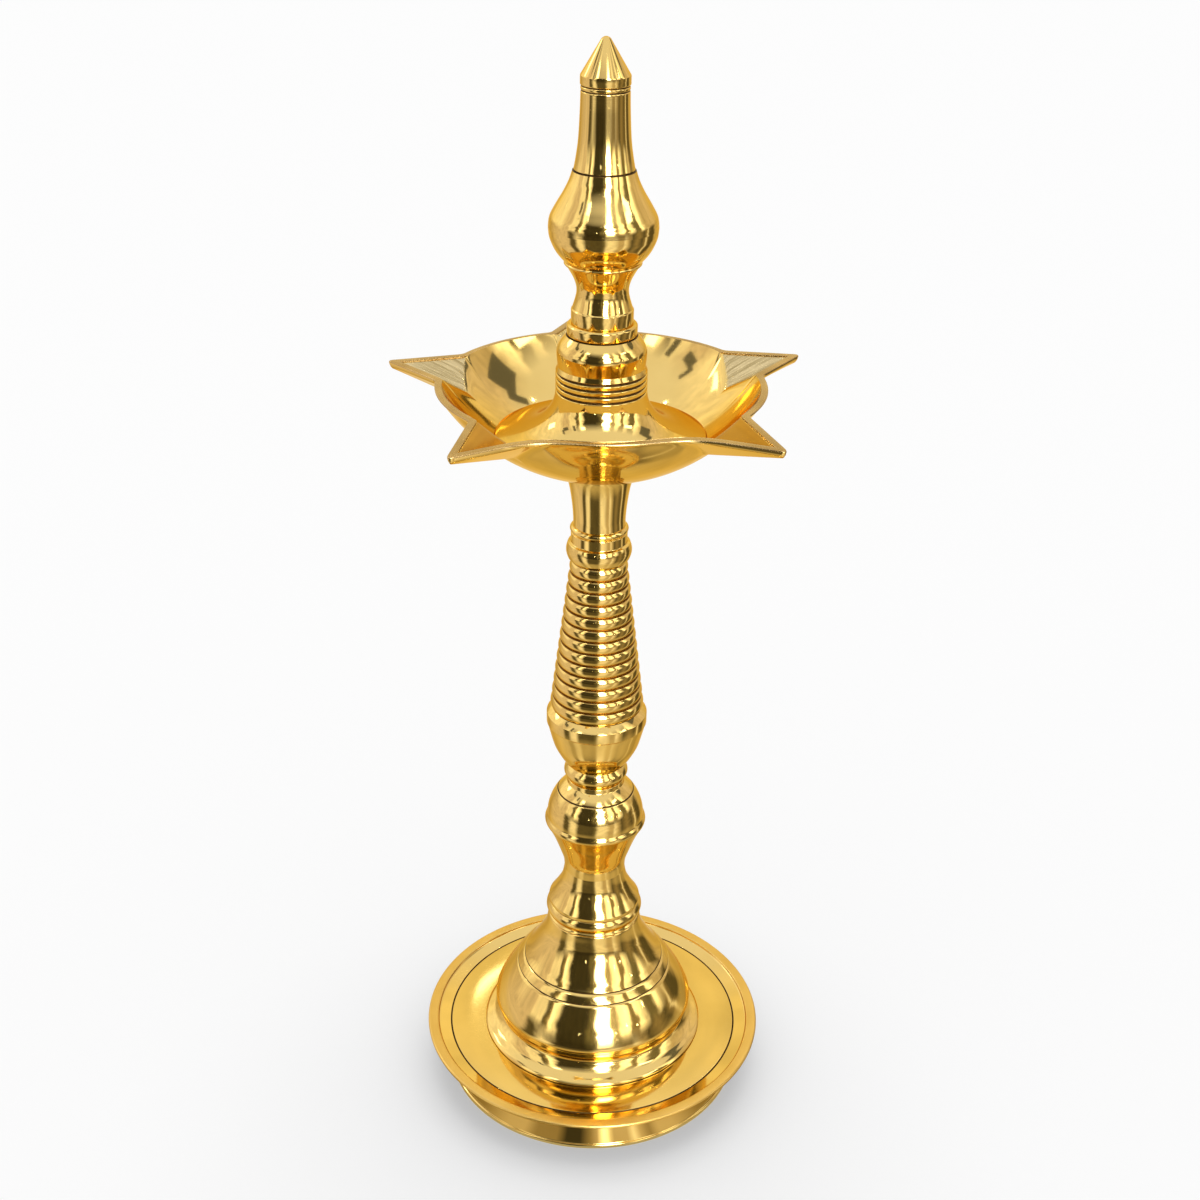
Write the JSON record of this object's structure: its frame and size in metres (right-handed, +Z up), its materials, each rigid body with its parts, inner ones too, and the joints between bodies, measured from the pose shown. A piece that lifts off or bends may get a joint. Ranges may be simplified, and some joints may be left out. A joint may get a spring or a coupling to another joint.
{
  "type": "standing oil lamp",
  "caption": "Tall turned brass oil lamp: dished tray and bell base, ribbed baluster stem, shallow bowl with beak-shaped wick spouts round a hub, and a pointed finial; its sections unscrew.",
  "frame": {"origin": "centre of the foot ring, on the surface the lamp stands on", "axes": "+Z up along the lamp's turned axis, +Y along one spout, +X to the right when looking along +Y"},
  "size_m": [0.1636, 0.1661, 0.457],
  "materials": {
    "polished_brass": "polished, with fine turning marks",
    "cut_brass": "as cut, threaded",
    "zinc_steel": "zinc plated",
    "washer_leather": "oiled"
  },
  "bodies": {
    "base": {"base_tray": "polished_brass", "base_bell": "polished_brass", "base_strap": "zinc_steel", "base_rod": "cut_brass", "base_washer": "zinc_steel", "base_nut": "zinc_steel"},
    "collar": {"base_collar": "polished_brass"},
    "lower": {"lower_stem": "polished_brass", "stem_stud": "cut_brass"},
    "bead": {"stem_bead": "polished_brass"},
    "column": {"ribbed_stem": "polished_brass", "bowl_stud": "cut_brass"},
    "seal": {"bowl_washer": "washer_leather"},
    "bowl": {"oil_bowl": "polished_brass", "bowl_gasket": "washer_leather", "hub": "polished_brass"},
    "hub_ring": {"hub_collar": "polished_brass"},
    "finial": {"finial_waist": "polished_brass", "finial_bulb": "polished_brass", "finial_spire": "polished_brass", "finial_rod": "cut_brass"}
  },
  "joints": [
    {"name": "lower_turn", "type": "hinge", "parent": "base", "child": "collar", "pos_m": [0, 0, 0.0791], "axis": [0, 0, 1], "range_deg": [0, 2880]},
    {"name": "lower_lift", "type": "slide", "parent": "collar", "child": "lower", "axis": [0, 0, 1], "range_m": [0, 0.012]},
    {"name": "column_turn", "type": "hinge", "parent": "lower", "child": "bead", "pos_m": [0, 0, 0.1505], "axis": [0, 0, 1], "range_deg": [0, 2880]},
    {"name": "column_lift", "type": "slide", "parent": "bead", "child": "column", "axis": [0, 0, 1], "range_m": [0, 0.012]},
    {"name": "bowl_turn", "type": "hinge", "parent": "column", "child": "seal", "pos_m": [0, 0, 0.2934], "axis": [0, 0, 1], "range_deg": [0, 2880]},
    {"name": "bowl_lift", "type": "slide", "parent": "seal", "child": "bowl", "axis": [0, 0, 1], "range_m": [0, 0.012]},
    {"name": "finial_turn", "type": "hinge", "parent": "bowl", "child": "hub_ring", "pos_m": [0, 0, 0.3482], "axis": [0, 0, 1], "range_deg": [0, 2880]},
    {"name": "finial_lift", "type": "slide", "parent": "hub_ring", "child": "finial", "axis": [0, 0, 1], "range_m": [0, 0.01]}
  ],
  "couplings": [
    {"joint": "lower_lift", "follows": "lower_turn", "m_per_rad": 0.00023873},
    {"joint": "column_lift", "follows": "column_turn", "m_per_rad": 0.00023873},
    {"joint": "bowl_lift", "follows": "bowl_turn", "m_per_rad": 0.00023873},
    {"joint": "finial_lift", "follows": "finial_turn", "m_per_rad": 0.00019894}
  ]
}
